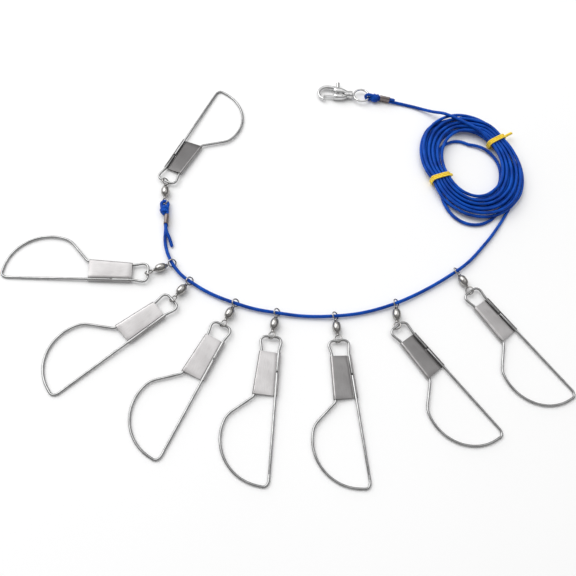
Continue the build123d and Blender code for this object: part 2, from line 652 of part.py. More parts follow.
# Clasp body: round hook, two cheeks that hold the lever between them, and the swivel's collar
hook_top = Vector(HOOK_CENTRE, HOOK_RADIUS)
with BuildPart() as clasp_body:
    with BuildLine() as hook_route:
        TangentArc(hook_top, HOOK_ROOT, tangent=(1, 0))
        JernArc(start=hook_top, tangent=(-1, 0), radius=HOOK_RADIUS, arc_size=HOOK_SWEEP)
    tube_along(CLASP_WIRE_DIA / 2, CLASP_WIRE_SIDES, hook_route.wire())
    with BuildSketch(Plane.XY.offset(-CLASP_THICK / 2)) as cheek_outline:
        Polygon(
            (CHEEK_LEFT, CHEEK_TOP),
            (CHEEK_LEFT, CHEEK_BOTTOM),
            (CHEEK_SHOULDER, CHEEK_BOTTOM),
            (CHEEK_RIGHT, -COLLAR_RADIUS),
            (CHEEK_RIGHT, COLLAR_RADIUS),
            (CHEEK_SHOULDER, -CHEEK_BOTTOM),
            align=None,
        )
        fillet(cheek_outline.vertices(), CHEEK_CORNER_RADIUS)
    extrude(amount=CLASP_THICK)
    with BuildSketch(Plane.XY.offset(-SLOT_WIDTH / 2)):
        with BuildLine():
            Polyline(
                (SLOT_RIGHT, CHEEK_BOTTOM - CUT_OVERRUN),
                (SLOT_RIGHT, CHEEK_TOP + CUT_OVERRUN),
                (SLOT_LEFT_TOP, CHEEK_TOP + CUT_OVERRUN),
                (SLOT_LEFT_TOP, SLOT_STEP),
                (CHEEK_LEFT - CUT_OVERRUN, SLOT_STEP),
                (CHEEK_LEFT - CUT_OVERRUN, CHEEK_BOTTOM - CUT_OVERRUN),
                close=True,
            )
        make_face()
    extrude(amount=SLOT_WIDTH, mode=Mode.SUBTRACT)
    with BuildSketch(Plane.YZ.offset(CHEEK_RIGHT)):
        Circle(COLLAR_RADIUS)
    extrude(amount=COLLAR_END - CHEEK_RIGHT)
    with BuildSketch(Plane.YZ.offset(SLOT_RIGHT)):
        Circle(RING_STEM_RADIUS + RING_STEM_CLEAR)
    extrude(amount=COLLAR_END - SLOT_RIGHT + CUT_OVERRUN, mode=Mode.SUBTRACT)
    head_room = RING_HEAD_THICK + 3 * RING_HEAD_CLEAR
    with BuildSketch(Plane.YZ.offset(SLOT_RIGHT - head_room)):
        Circle(RING_HEAD_RADIUS + RING_HEAD_CLEAR)
    extrude(amount=head_room, mode=Mode.SUBTRACT)
    with Locations(Plane.XY.offset(CLASP_THICK / 2)):
        with Locations(PIVOT):
            Hole(PIN_RADIUS + PIN_SEAT_CLEAR)
write(clasp_body.part.moved(clasp_at), "clasp_body")

# Trigger lever: the gate arm, its hub on the pin, and the thumb knob that stands out of the far side
with BuildPart() as lever:
    with BuildSketch(Plane.XY.offset(-LEVER_THICK / 2)):
        with Locations(PIVOT):
            Circle(LEVER_HUB_RADIUS)
        Polygon(
            (PIVOT.X, PIVOT.Y + ARM_WIDTH / 2),
            (ARM_TIP_X, PIVOT.Y + ARM_WIDTH / 2 - ARM_DROP),
            (ARM_TIP_X, PIVOT.Y - ARM_WIDTH / 2 - ARM_DROP),
            (PIVOT.X, PIVOT.Y - ARM_WIDTH / 2),
            align=None,
        )
        Polygon(
            (PIVOT.X - LEVER_NECK_LEFT, PIVOT.Y),
            (PIVOT.X + LEVER_NECK_RIGHT, PIVOT.Y),
            (THUMB_X + THUMB_NECK / 2, THUMB_BASE),
            (THUMB_X - THUMB_NECK / 2, THUMB_BASE),
            align=None,
        )
    extrude(amount=LEVER_THICK)
    boss_z = -SLOT_WIDTH / 2 + LEVER_SIDE_GAP
    with BuildSketch(Plane.XY.offset(boss_z)):
        with Locations(PIVOT):
            Circle(LEVER_HUB_RADIUS)
    extrude(amount=-boss_z)
    with BuildSketch(Plane.XZ.offset(-(THUMB_BASE - THUMB_ROOT))):
        with Locations((THUMB_X, 0)):
            Circle(THUMB_RADIUS)
    extrude(amount=-(THUMB_TOP - THUMB_BASE + THUMB_ROOT))
    chamfer(lever.faces().sort_by(Axis.Y)[-1].edges(), THUMB_CHAMFER)
    with Locations(Plane.XY.offset(LEVER_THICK / 2)):
        with Locations(PIVOT):
            Hole(PIN_RADIUS + LEVER_CLEAR)
    nose = Vector(HOOK_CENTRE, 0, 0)
    with BuildSketch(Plane(nose - Vector(HOOK_RADIUS, 0, 0), x_dir=(1, 0, 0), z_dir=(0, -1, 0))):
        Circle(CLASP_WIRE_DIA / 2 + ARM_TIP_GAP)
    revolve(axis=Axis(nose, (0, 0, 1)), revolution_arc=HOOK_SWEEP - 90, mode=Mode.SUBTRACT)
write(lever.part.moved(clasp_at), "trigger_lever")

# Lever pin, flush with the cheeks
with BuildPart() as pin:
    with BuildSketch(Plane.XY.offset(-CLASP_THICK / 2)):
        with Locations(PIVOT):
            Circle(PIN_RADIUS)
    extrude(amount=CLASP_THICK)
write(pin.part.moved(clasp_at), "lever_pin")

# Torsion spring round the pin, beside the lever's hub
spring_radius = PIN_RADIUS + SPRING_CLEAR + SPRING_WIRE_DIA / 2
spring_start_z = (LEVER_THICK + SLOT_WIDTH) / 4 - SPRING_PITCH * SPRING_HALF_TURNS / 4
spring_stations = []
for i in range(SPRING_HALF_TURNS * 2 + 1):
    turn = i * pi / 2
    spring_point = Vector(cos(turn), sin(turn), 0) * spring_radius + PIVOT
    spring_point.Z = spring_start_z + SPRING_PITCH * i / 4
    spring_way = Vector(-sin(turn), cos(turn), SPRING_PITCH / (2 * pi * spring_radius))
    spring_stations.append((spring_point, spring_way.normalized()))
with BuildPart() as spring:
    with BuildLine() as spring_route:
        for (here, way_here), (there, way_there) in zip(spring_stations, spring_stations[1:]):
            biarc(here, way_here, there, way_there)
    tube_along(SPRING_WIRE_DIA / 2, SPRING_WIRE_SIDES, spring_route.wire())
write(spring.part.moved(clasp_at), "lever_spring")

# Swivel ring of the clasp, with a headed stem in the collar
with BuildPart() as clasp_ring:
    ring_of(RING_WIRE_DIA, RING_SIDES, Vector(RING_CENTRE, 0, 0), Vector(0, 0, 1), RING_RADIUS)
    head_face = Vector(SLOT_RIGHT - RING_HEAD_CLEAR, 0, 0)
    head_back = head_face - Vector(RING_HEAD_THICK, 0, 0)
    rod(RING_STEM_RADIUS, RING_SIDES, Vector(RING_CENTRE - RING_RADIUS, 0, 0), head_back)
    rod(RING_HEAD_RADIUS, RING_SIDES, head_face, head_back)
write(clasp_ring.part.moved(clasp_at), "clasp_ring")
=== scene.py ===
import json
from math import atan2, cos, pi, radians, sin, sqrt, tan

import bpy
from mathutils import Matrix, Vector


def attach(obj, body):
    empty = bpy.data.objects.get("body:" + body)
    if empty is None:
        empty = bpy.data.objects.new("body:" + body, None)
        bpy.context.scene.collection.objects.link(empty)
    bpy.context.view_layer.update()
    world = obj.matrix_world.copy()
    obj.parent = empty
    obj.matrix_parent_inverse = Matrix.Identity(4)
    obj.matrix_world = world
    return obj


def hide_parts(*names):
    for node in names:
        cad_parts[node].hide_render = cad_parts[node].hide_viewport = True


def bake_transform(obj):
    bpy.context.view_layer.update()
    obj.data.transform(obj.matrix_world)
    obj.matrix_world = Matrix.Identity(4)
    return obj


# Fish stringer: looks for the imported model. Metres, in the model's own frame.

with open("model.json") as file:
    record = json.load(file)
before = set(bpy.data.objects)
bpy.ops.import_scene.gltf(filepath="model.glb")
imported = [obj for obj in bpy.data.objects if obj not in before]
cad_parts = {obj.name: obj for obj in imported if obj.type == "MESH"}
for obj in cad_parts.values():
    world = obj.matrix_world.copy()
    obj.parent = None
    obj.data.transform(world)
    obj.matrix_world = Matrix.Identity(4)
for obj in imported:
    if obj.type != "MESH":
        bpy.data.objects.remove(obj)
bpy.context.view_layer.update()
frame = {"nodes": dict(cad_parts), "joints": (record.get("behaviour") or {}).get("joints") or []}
joints = {joint["name"]: joint for joint in frame["joints"]}

UNITS = range(1, 9)
UP = Vector((0, 0, 1))

# Angles of the rows in a tube's domed cap
DOME_ANGLES = (28, 55, 80)

# Layout: points on the surface are counted from the middle of the spread-out stringer
ORIGIN = Vector((-0.00285, 0.02825, 0))

# Cord: round braid of crossing strands
CORD_RADIUS = 0.0014
CORD_DIA = 0.0028
CORD_SIDES = 12
BRAID_PITCH = 0.0019
BRAID_STRANDS = 4
# Shares of the braid's painted groove shade and of random patches in the cord's colour
GROOVE_SHADE_SHARE = 0.45
PATCH_SHARE = 0.55

# Coil: oval turns in rows, close together at the ties and further apart between them
COIL_CENTRE = Vector((0.1748, 0.1262, 0)) - ORIGIN
COIL_HALF_WIDTH = 0.0380
COIL_HALF_LENGTH = 0.0470
COIL_START_ANGLE = -45
COIL_END_TURN = 14.25
COIL_POINTS_A_TURN = 30
COIL_ROW = 5
COIL_ROWS = 3
COIL_ROW_RISE = 0.00282
COIL_FLOOR_Z = 0.0016
TIE_LIFT = 0.0015
TIED_PITCH = 0.00295
LOOSE_PITCH = 0.0047
FAN_SHAPE = 0.8
WANDER = 0.28
WANDER_STEP = 2.4
COIL_LEAD_IN = 0.0158

# Share of a turn after which the cord shifts to the next column, and the wait from one row to the next
SHIFT_FROM = 0.27
SHIFT_STEP = 0.077

# Stray loops of the coil: first turn, last turn and how far outward
STRAYS = ((0.69, 0.99, 0.0150), (4.10, 4.58, -0.0125))

# The cord's way from its end ferrule to the coil, and from the coil to the clasp's ferrule
LINE_ROUTE = (
    (-0.1016, 0.0577, 0.00193),
    (-0.1021, 0.0486, 0.00173),
    (-0.1016, 0.0392, 0.0023),
    (-0.0990, 0.0295, 0.00295),
    (-0.0954, 0.0210, 0.00325),
    (-0.0888, 0.0114, 0.00295),
    (-0.0808, 0.0044, 0.00325),
    (-0.0639, -0.0066, 0.0022),
    (-0.0438, -0.0154, 0.00325),
    (-0.0277, -0.0204, 0.0022),
    (-0.0100, -0.0240, 0.00325),
    (0.0120, -0.0269, 0.0020),
    (0.0367, -0.0272, 0.00325),
    (0.0610, -0.0239, 0.0020),
    (0.0886, -0.0160, 0.00325),
    (0.1176, -0.0018, 0.0020),
    (0.1448, 0.0146, 0.00325),
    (0.1586, 0.0252, 0.0024),
    (0.1704, 0.0376, 0.0020),
    (0.1833, 0.0516, 0.0021),
)
LEAD_ROUTE = (
    (0.1908, 0.1579, 0.0098),
    (0.1858, 0.1616, 0.0112),
    (0.1780, 0.1672, 0.0112),
    (0.1700, 0.1724, 0.0110),
    (0.1620, 0.1773, 0.0106),
    (0.1546, 0.1816, 0.0097),
    (0.1478, 0.1857, 0.0056),
    (0.1382, 0.1914, 0.0026),
    (0.1284, 0.1955, 0.0016),
    (0.1183, 0.1981, 0.0016),
    (0.1060, 0.2009, 0.00193),
)

# Ties: angle round the coil, how far they pull the turns in, reach of the twisted tail and its side
TIES = ((-157, 0.0040, 0.003, -1), (36, 0.0040, 0.011, 1))
TIE_WIRE = 0.00075
TIE_WRAPS = 3
TIE_WRAP_POINTS = 48
TIE_WRAP_PITCH = TIE_WIRE * 2.05
TIE_HALF_WIDTH = 2.25 * TIED_PITCH + CORD_RADIUS + TIE_WIRE * 1.3
TIE_HALF_HEIGHT = COIL_ROW_RISE + CORD_RADIUS + TIE_WIRE * 1.1
TIE_ROUNDNESS = 0.45
TIE_SIDES = 10
TAIL_POINTS = 40
TAIL_TURN_POINTS = 13
TAIL_RADIUS = 0.95

# Ferrules and knots
FERRULE_LENGTH = 0.0095
FERRULE_WALL = 0.0005
FERRULE_SIDES = 24
FERRULE_INSIDE = 0.004
FERRULE_PROFILE = (
    (0, 0.8),
    (0, 1),
    (0.12, 1.02),
    (0.25, 1),
    (0.33, 0.86),
    (0.41, 1),
    (0.59, 1),
    (0.67, 0.86),
    (0.75, 1),
    (0.88, 1.02),
    (1, 1),
    (1, 0.8),
)
TAG_PITCH = 0.0029
KNOT_SETBACK = 0.0063
KNOT_RADIUS = 0.0025
KNOT_STEP = 0.0023
KNOT_TURNS = 3
KNOT_Z = 0.0040
KNOT_LEG = 0.0045
KNOT_WAIST = 0.8
KNOT_BEND_POINTS = 14
KNOT_TURN_POINTS = 18
KNOT_SWELL = 0.08
KNOT_CORE_REACH = 1.3
KNOT_CORE_RADIUS = KNOT_RADIUS * 0.9
RING_TURN = 0.0029
CLASP_KNOT_ANGLE = 170
CLASP_TAG_RUN = 0.004
END_TAG_RUN = 0.005
END_TAG = ((-0.0980, 0.0452, 0.0031), (-0.0962, 0.0386, 0.0016))

# Snap, in its own frame: straight leg on X = 0, far corner at Y = 0, end loop at the top
WIRE_RADIUS = 0.0010
WIRE_SIDES = 16
SNAP_LENGTH = 0.1138
SNAP_PIVOT = Vector((0, 0.0056, 0))
BOW_CENTRE = Vector((-0.00372, 0.0330, 0))
BOW_RADIUS = 0.03465
BOW_FROM = 160
BOW_TO = 262
BOW_RUN_OUT = 0.004
LEG_TOP = Vector((-0.0136, 0.1025, 0))
LEG_BOTTOM = Vector((-0.0163, 0.0643, 0))
SHOULDER_HEADING = 220.3
SHOULDER_LENGTH = 0.0185
LOOP_FLARE = 0.0022
LOOP_RADII = (0.006, 0.0042, 0.0042, 0.006, 0.004)
LOOP_STEPS = 8
BOW_STEPS = 34
SHOULDER_STEPS = 5
CORNER_ARC_STEPS = 6
NECK = 0.1020
GATE_TIP = 0.0841
WIRE_START = Vector((0, GATE_TIP + 0.002, 0))
WIRE_END = Vector((0, 0.0040, 0))
CORNER_TOP = Vector((0, 0.0032, 0))
CORNER_STEP = Vector((0, 0.0004, 0))
CORNER_STEPS = 8
GATE_START = Vector((0, 0.0072, 0))
GATE_MIDDLE = Vector((0, 0.04, 0))
GATE_END = Vector((0, GATE_TIP - 0.0002, 0))

# Keeper: sheet that hooks over the gate, runs under both legs, rolls over the bowed leg and comes back flat
KEEPER_BOTTOM = 0.0661
KEEPER_TOP = 0.1009
KEEPER_SHEET = 0.0006
KEEPER_RADIUS = 0.0014
KEEPER_BEVEL = 0.0001
KEEPER_ROWS = 8
KEEPER_STRIPS = 6
KEEPER_HOOK_LIP = 60
KEEPER_FACE_FROM = 80
KEEPER_FACE_EDGE = Vector((-0.0017, 0, -0.00072))
KEEPER_LEVEL = 0.9
KEEPER_LIGHT = (0.42, 0.41, 0.41)
KEEPER_DARK = (0.3, 0.29, 0.29)

# Painted reflection tone of each keeper's face, lighter or darker as its reflection of the studio light
# looks, from the first snap to the eighth
KEEPER_PAINTED_REFLECTIONS = (0.28, 1.0, 1.8, 1.8, 1.8, 0.85, 0.85, 2.1)

# Swivel
EYE_SPACING = 0.0203
EYE_RADIUS = 0.00315
EYE_WIRE = 0.00055
STEM_RADIUS = 0.0009
BARREL_LENGTH = 0.0118
BARREL_RADIUS = 0.0036
EYE_ROLL = 50
STEM_REACH = 0.002
EYE_SEGMENTS = 36
EYE_SIDES = 12
STEM_SIDES = 16
BARREL_SIDES = 28

# Barrel's outline: shares of its length and of its radius
BARREL_PROFILE = (
    (-0.5, 0.2),
    (-0.5, 0.38),
    (-0.4, 0.4),
    (-0.38, 0.52),
    (-0.33, 0.7),
    (-0.25, 0.86),
    (-0.14, 0.96),
    (0, 1.0),
    (0.14, 0.96),
    (0.25, 0.86),
    (0.33, 0.7),
    (0.38, 0.52),
    (0.4, 0.4),
    (0.5, 0.38),
    (0.5, 0.2),
)

# Clasp, in its own frame: the swivel on X and the hook towards -X
HOOK_CENTRE = Vector((-0.0255, 0, 0))
HOOK_RADIUS = 0.0076
HOOK_ROOT = Vector((-0.0095, 0.0040, 0))
RING_CENTRE = 0.0080
RING_RADIUS = 0.0072
RING_WIRE = 0.0010
RING_STEM = (
    (-0.0082, 0),
    (-0.0082, 0.0022),
    (-0.0072, 0.0024),
    (-0.0071, 0.0014),
    (-0.0006, 0.0014),
    (-0.0005, 0.0017),
    (0.0006, 0.0019),
    (0.0012, 0.0015),
    (0.0016, 0),
)
HOOK_TIP = 250
HOOK_THICK = 0.0022
HOOK_THINNING = 0.0009
HOOK_TAPER_PACE = 1.3
HOOK_ROOT_STEPS = 8
HOOK_STEPS = 26
HOOK_SIDES = 20
RING_SEGMENTS = 56
RING_SIDES = 14
RING_STEM_SIDES = 20

# Sections of the clasp's casting: place along it, top and bottom
UPPER_RAIL = (
    (-0.0190, 0.0052, 0.0012),
    (-0.0186, 0.0070, 0.0006),
    (-0.0160, 0.0073, 0.0005),
    (-0.0120, 0.0066, 0.0006),
    (-0.0090, 0.0056, 0.0006),
    (-0.0068, 0.0045, 0.0004),
    (-0.0054, 0.0034, 0.0002),
)
LOWER_RAIL = (
    (-0.0190, -0.0014, -0.0050),
    (-0.0186, -0.0008, -0.0062),
    (-0.0160, -0.0008, -0.0065),
    (-0.0120, -0.0007, -0.0063),
    (-0.0090, -0.0006, -0.0057),
    (-0.0068, -0.0004, -0.0045),
    (-0.0054, -0.0002, -0.0034),
)
COLLAR = (
    (-0.0066, 0.0030, -0.0030),
    (-0.0063, 0.0036, -0.0036),
    (-0.0052, 0.0036, -0.0036),
    (-0.0047, 0.0030, -0.0030),
    (-0.0042, 0.0036, -0.0036),
    (-0.0012, 0.0036, -0.0036),
    (-0.0008, 0.0032, -0.0032),
    (-0.0008, 0.0018, -0.0018),
)
CLASP_HALF_THICK = 0.0033
CLASP_ROUNDNESS = 0.75
CLASP_FULLNESS = 1.1
CLASP_SIDES = 28

# Camera, fitted to the eight equal snaps
CAMERA_DISTANCE = 0.56551
CAMERA_TILT = 26.91
CAMERA_ROLL = 10.826
CAMERA_TURN = -12
LENS = 42.79
SENSOR_WIDTH = 36

# Stage
FLOOR_SIZE = 40
FLOOR_DARK = (0.93, 0.93, 0.93)
FLOOR_LIGHT = (0.95, 0.95, 0.95)

# Lamps: name, place, size and power
LAMPS = (("key", (-1.2, 1.0, 1.9), 2.2, 37), ("top", (0.7, 0.5, 2.3), 2.2, 11))

# World: the side that the studio's light comes from, its levels towards that side, and the sky's rise
WORLD_WAY = (-0.5, 0.7, 0.5)
WORLD_LEVELS = ((0.5, 0.26), (0.78, 0.32), (0.92, 1.0))
SKY_RISE = (0.2, 0.6, 0.0, 0.48)


def heading(angle):
    """Level unit vector at an angle from +X."""
    return Vector((cos(radians(angle)), sin(radians(angle)), 0))


def squared(turn, roundness):
    """Point on a unit circle that is drawn out towards a square."""
    return [abs(value) ** roundness * (1 if value > 0 else -1) for value in (cos(turn), sin(turn))]


# Paths


def arc_points(start, way, end, count):
    """Points on the arc that leaves start along way and reaches end, without the start."""
    span = end - start
    along = span.dot(way)
    normal = span - way * along
    if normal.length < 1e-7:
        return [start.lerp(end, i / count) for i in range(1, count + 1)]
    normal.normalize()
    radius = span.dot(span) / (2 * span.dot(normal))
    sweep = 2 * atan2(span.dot(normal), along)
    return [
        start + way * radius * sin(sweep * i / count) + normal * radius * (1 - cos(sweep * i / count))
        for i in range(1, count + 1)
    ]


def biarc_points(start, start_way, end, end_way, count):
    """Points on two arcs that leave start along start_way and reach end along end_way."""
    span = end - start
    spread = 2 * (1 - start_way.dot(end_way))
    along = span.dot(start_way + end_way)
    reach = (sqrt(along**2 + spread * span.dot(span)) - along) / spread
    first = start + start_way * reach
    last = end - end_way * reach
    joint = (first + last) / 2
    middle_way = (last - first).normalized()
    return arc_points(start, start_way, joint, count) + arc_points(joint, middle_way, end, count)


def rounded(points, radii, count):
    """Points along straight runs with their corners rounded to the given radii."""
    path = [points[0]]
    for before, corner, after, radius in zip(points, points[1:], points[2:], radii):
        way_in = (corner - before).normalized()
        way_out = (after - corner).normalized()
        cut = radius * tan(way_in.angle(way_out) / 2)
        path.append(corner - way_in * cut)
        path += arc_points(path[-1], way_in, corner + way_out * cut, count)
    path.append(points[-1])
    return path


def circle_points(centre, radius, first, last, count):
    """Points on a level circle from one angle to another."""
    return [centre + heading(first + (last - first) * i / count) * radius for i in range(count + 1)]


# Meshes: each shape is a list of vertices, a list of faces and a list of each face's UV corners


def grid_faces(rows, columns, lengths, wrap):
    """Faces and UVs between rows of vertices: U along the rows in metres, V round them from 0 to 1."""
    faces, uvs = [], []
    for i in range(rows - 1):
        for j in range(columns if wrap else columns - 1):
            k = (j + 1) % columns
            faces.append((i * columns + j, i * columns + k, (i + 1) * columns + k, (i + 1) * columns + j))
            low, high = j / columns, (j + 1) / columns
            here, on = lengths[i], lengths[i + 1]
            uvs.append(((here, low), (here, high), (on, high), (on, low)))
    return faces, uvs


def tube(points, radius, sides):
    """Round tube along points, of one radius or one for each point, with a domed cap at each end."""
    radii = radius if isinstance(radius, list) else [radius] * len(points)
    ways = []
    for i in range(len(points)):
        ways.append((points[min(i + 1, len(points) - 1)] - points[max(i - 1, 0)]).normalized())
    stations = []
    for dome in reversed(DOME_ANGLES):
        back, shrink = radii[0] * sin(radians(dome)), radii[0] * cos(radians(dome))
        stations.append((points[0] - ways[0] * back, ways[0], shrink))
    stations += list(zip(points, ways, radii))
    for dome in DOME_ANGLES:
        on, shrink = radii[-1] * sin(radians(dome)), radii[-1] * cos(radians(dome))
        stations.append((points[-1] + ways[-1] * on, ways[-1], shrink))
    vertices, lengths = [], []
    normal = ways[0].orthogonal().normalized()
    last_point, last_way, length = stations[0][0], ways[0], 0
    for point, way, ring_radius in stations:
        normal = (last_way.rotation_difference(way) @ normal).normalized()
        side = way.cross(normal)
        length += (point - last_point).length
        lengths.append(length)
        last_point, last_way = point, way
        for j in range(sides):
            turn = 2 * pi * j / sides
            vertices.append(point + (normal * cos(turn) + side * sin(turn)) * ring_radius)
    faces, uvs = grid_faces(len(stations), sides, lengths, True)
    faces.append(tuple(reversed(range(sides))))
    faces.append(tuple(range(len(vertices) - sides, len(vertices))))
    uvs += [((0, 0),) * sides, ((length, 0),) * sides]
    return vertices, faces, uvs


def lathe(profile, sides):
    """Surface turned about X from (x, radius) pairs."""
    vertices, lengths = [], []
    for x, radius in profile:
        lengths.append(x)
        for j in range(sides):
            turn = 2 * pi * j / sides
            vertices.append(Vector((x, radius * cos(turn), radius * sin(turn))))
    faces, uvs = grid_faces(len(profile), sides, lengths, True)
    return vertices, faces, uvs


def ring(centre, across, up, ring_radius, wire_radius, segments, sides):
    """Closed ring of round wire in the plane of across and up."""
    normal = across.cross(up)
    vertices = []
    for i in range(segments):
        turn = 2 * pi * i / segments
        outward = across * cos(turn) + up * sin(turn)
        for j in range(sides):
            roll = 2 * pi * j / sides
            reach = outward * (ring_radius + wire_radius * cos(roll))
            vertices.append(centre + reach + normal * wire_radius * sin(roll))
    faces, uvs = [], []
    for i in range(segments):
        for j in range(sides):
            k, n = (j + 1) % sides, (i + 1) % segments
            faces.append((i * sides + j, n * sides + j, n * sides + k, i * sides + k))
            uvs.append(((0, 0), (1, 0), (1, 1), (0, 1)))
    return vertices, faces, uvs


def make_piece(name, shapes, material, body, replaces=(), place=Matrix.Identity(4)):
    """One object from several shapes, riding on a body of the model."""
    vertices, faces, uvs = [], [], []
    for shape_vertices, shape_faces, shape_uvs in shapes:
        base = len(vertices)
        vertices += shape_vertices
        faces += [tuple(base + v for v in face) for face in shape_faces]
        uvs += shape_uvs
    mesh = bpy.data.meshes.new(name)
    mesh.from_pydata([tuple(v) for v in vertices], [], faces)
    layer = mesh.uv_layers.new(name="UVMap")
    corners = [corner for face_uvs in uvs for corner in face_uvs]
    layer.data.foreach_set("uv", [value for corner in corners for value in corner])
    mesh.polygons.foreach_set("use_smooth", [True] * len(mesh.polygons))
    mesh.materials.append(material)
    mesh.validate()
    return place_piece(name, mesh, body, replaces, place)


def place_piece(name, mesh, body, replaces, place):
    """Put a mesh in the scene at a place, riding on a body and standing for CAD nodes."""
    piece = bpy.data.objects.new(name, mesh)
    bpy.context.scene.collection.objects.link(piece)
    piece.matrix_world = place
    if body:
        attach(piece, body)
    if replaces:
        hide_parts(*replaces)
    return piece


# Materials


def new_material(name):
    """Material with its principled shader, and a function that adds and links nodes."""
    material = bpy.data.materials.new(name)
    material.use_nodes = True
    tree = material.node_tree
    shader = tree.nodes["Principled BSDF"]

    def add(kind, inputs=None, **settings):
        node = tree.nodes.new(kind)
        for key, value in settings.items():
            setattr(node, key, value)
        for key, value in (inputs or {}).items():
            if isinstance(value, bpy.types.NodeSocket):
                tree.links.new(value, node.inputs[key])
            else:
                node.inputs[key].default_value = value
        return node

    def link(output, socket):
        tree.links.new(output, shader.inputs[socket])

    return material, shader, add, link


def colour_ramp(add, factor, stops):
    """Colour ramp node between (position, colour) stops."""
    ramp = add("ShaderNodeValToRGB", {"Fac": factor})
    elements = ramp.color_ramp.elements
    while len(elements) < len(stops):
        elements.new(0.5)
    for element, (position, colour) in zip(elements, stops):
        element.position = position
        element.color = (*colour, 1)
    return ramp.outputs["Color"]


def braided_cord(name, bright, mid, deep):
    """Fine round braid: two families of strands that cross, with painted shade in the grooves and painted
    highlight on the strands' crowns.
    """
    material, shader, add, link = new_material(name)
    place = add("ShaderNodeTexCoord")
    split = add("ShaderNodeSeparateXYZ", {"Vector": place.outputs["UV"]})
    along = add("ShaderNodeMath", {0: split.outputs["X"], 1: 2 * pi / BRAID_PITCH}, operation="MULTIPLY")
    strands = []
    for sign in (1, -1):
        slant = sign * 2 * pi * BRAID_STRANDS
        lean = add("ShaderNodeMath", {0: split.outputs["Y"], 1: slant}, operation="MULTIPLY")
        phase = add("ShaderNodeMath", {0: along.outputs[0], 1: lean.outputs[0]}, operation="ADD")
        strands.append(add("ShaderNodeMath", {0: phase.outputs[0]}, operation="SINE"))
    rising, falling = (strand.outputs[0] for strand in strands)
    weave = add("ShaderNodeMath", {0: rising, 1: falling}, operation="MULTIPLY")
    height = add("ShaderNodeMapRange", {"Value": weave.outputs[0], "From Min": -1.0, "From Max": 1.0})
    patches = add("ShaderNodeTexNoise", {"Vector": place.outputs["Object"], "Scale": 90.0, "Detail": 3.0})
    # Painted shade: the braid's height darkens the colour in its grooves and lightens it on the strands'
    # crowns
    painted_groove_shade = add("ShaderNodeMath", {0: height.outputs[0], 1: GROOVE_SHADE_SHARE}, operation="MULTIPLY")
    worn = add("ShaderNodeMath", {0: patches.outputs["Fac"], 1: PATCH_SHARE}, operation="MULTIPLY")
    tone = add("ShaderNodeMath", {0: painted_groove_shade.outputs[0], 1: worn.outputs[0]}, operation="ADD")
    link(colour_ramp(add, tone.outputs[0], [(0.3, deep), (0.5, mid), (0.72, bright)]), "Base Color")
    bump = add("ShaderNodeBump", {"Height": height.outputs[0], "Strength": 0.35, "Distance": 0.0002})
    link(bump.outputs["Normal"], "Normal")
    shader.inputs["Roughness"].default_value = 0.45
    shader.inputs["Specular IOR Level"].default_value = 0.12
    return material


def polished_metal(name, light, dark, rough_low, rough_high, grain):
    """Drawn or plated metal: faint stains, fine scratches and uneven polish."""
    material, shader, add, link = new_material(name)
    place = add("ShaderNodeTexCoord")
    stains = add("ShaderNodeTexNoise", {"Vector": place.outputs["Object"], "Scale": 160.0, "Detail": 4.0})
    link(colour_ramp(add, stains.outputs["Fac"], [(0.3, dark), (0.7, light)]), "Base Color")
    marks = add("ShaderNodeTexNoise", {"Vector": place.outputs["Object"], "Scale": grain, "Detail": 2.0})
    rough = add(
        "ShaderNodeMapRange", {"Value": marks.outputs["Fac"], "To Min": rough_low, "To Max": rough_high}
    )
    link(rough.outputs[0], "Roughness")
    bump = add("ShaderNodeBump", {"Height": marks.outputs["Fac"], "Strength": 0.02, "Distance": 0.00002})
    link(bump.outputs["Normal"], "Normal")
    shader.inputs["Metallic"].default_value = 1.0
    return material


def brushed_sheet(name, light, dark):
    """Sheet steel with brush lines along its length."""
    material, shader, add, link = new_material(name)
    place = add("ShaderNodeTexCoord")
    stretch = add("ShaderNodeMapping", {"Vector": place.outputs["Object"], "Scale": (1.0, 0.02, 1.0)})
    lines = add("ShaderNodeTexNoise", {"Vector": stretch.outputs[0], "Scale": 9000.0, "Detail": 2.0})
    clouds = add("ShaderNodeTexNoise", {"Vector": place.outputs["Object"], "Scale": 70.0, "Detail": 3.0})
    both = add("ShaderNodeMath", {0: lines.outputs["Fac"], 1: clouds.outputs["Fac"]}, operation="ADD")
    tone = add("ShaderNodeMath", {0: both.outputs[0], 1: 0.5}, operation="MULTIPLY")
    link(colour_ramp(add, tone.outputs[0], [(0.35, dark), (0.65, light)]), "Base Color")
    rough = add("ShaderNodeMapRange", {"Value": lines.outputs["Fac"], "To Min": 0.26, "To Max": 0.44})
    link(rough.outputs[0], "Roughness")
    bump = add("ShaderNodeBump", {"Height": lines.outputs["Fac"], "Strength": 0.12, "Distance": 0.00005})
    link(bump.outputs["Normal"], "Normal")
    grain = add("ShaderNodeTangent", direction_type="UV_MAP", uv_map="UVMap")
    link(grain.outputs[0], "Tangent")
    shader.inputs["Anisotropic"].default_value = 0.75
    shader.inputs["Metallic"].default_value = 1.0
    return material


def coated_tie(name, light, dark):
    """Twist tie: glossy plastic over a wire core, with creases, painted darker in their hollows."""
    material, shader, add, link = new_material(name)
    place = add("ShaderNodeTexCoord")
    creases_and_painted_shade = add("ShaderNodeTexNoise", {"Vector": place.outputs["Object"], "Scale": 900.0, "Detail": 3.0})
    # Painted shade: the tie's colour darkens where the crease bump is low
    link(colour_ramp(add, creases_and_painted_shade.outputs["Fac"], [(0.35, dark), (0.6, light)]), "Base Color")
    bump = add("ShaderNodeBump", {"Height": creases_and_painted_shade.outputs["Fac"], "Strength": 0.3, "Distance": 0.0003})
    link(bump.outputs["Normal"], "Normal")
    shader.inputs["Roughness"].default_value = 0.3
    return material
